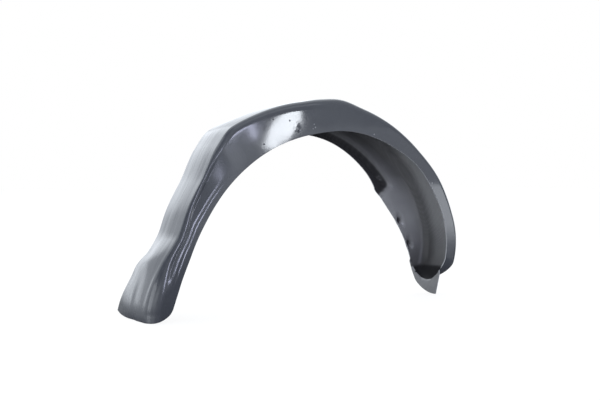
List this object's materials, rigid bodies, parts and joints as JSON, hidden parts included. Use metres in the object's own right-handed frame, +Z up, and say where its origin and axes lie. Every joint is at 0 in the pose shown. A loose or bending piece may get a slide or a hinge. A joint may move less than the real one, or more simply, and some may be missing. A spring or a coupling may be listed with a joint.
{
  "type": "wheel arch liner",
  "caption": "Vacuum-formed wheel arch liner: a U-shaped plastic channel over the wheel with a flared front foot and a closed rear end.",
  "frame": {"origin": "middle of the part's overall length and depth, at the ground line that its front foot and rear lip stand on", "axes": "+X towards the rear end of the arch, +Y from the near wall towards the far wall, +Z up"},
  "size_m": [0.7124, 0.203, 0.4049],
  "materials": {
    "sheet": "glossy dark grey outside, fine-grained satin inside, with light scuffs and soft forming dents"
  },
  "bodies": {
    "root": {"liner": "sheet"}
  },
  "joints": []
}
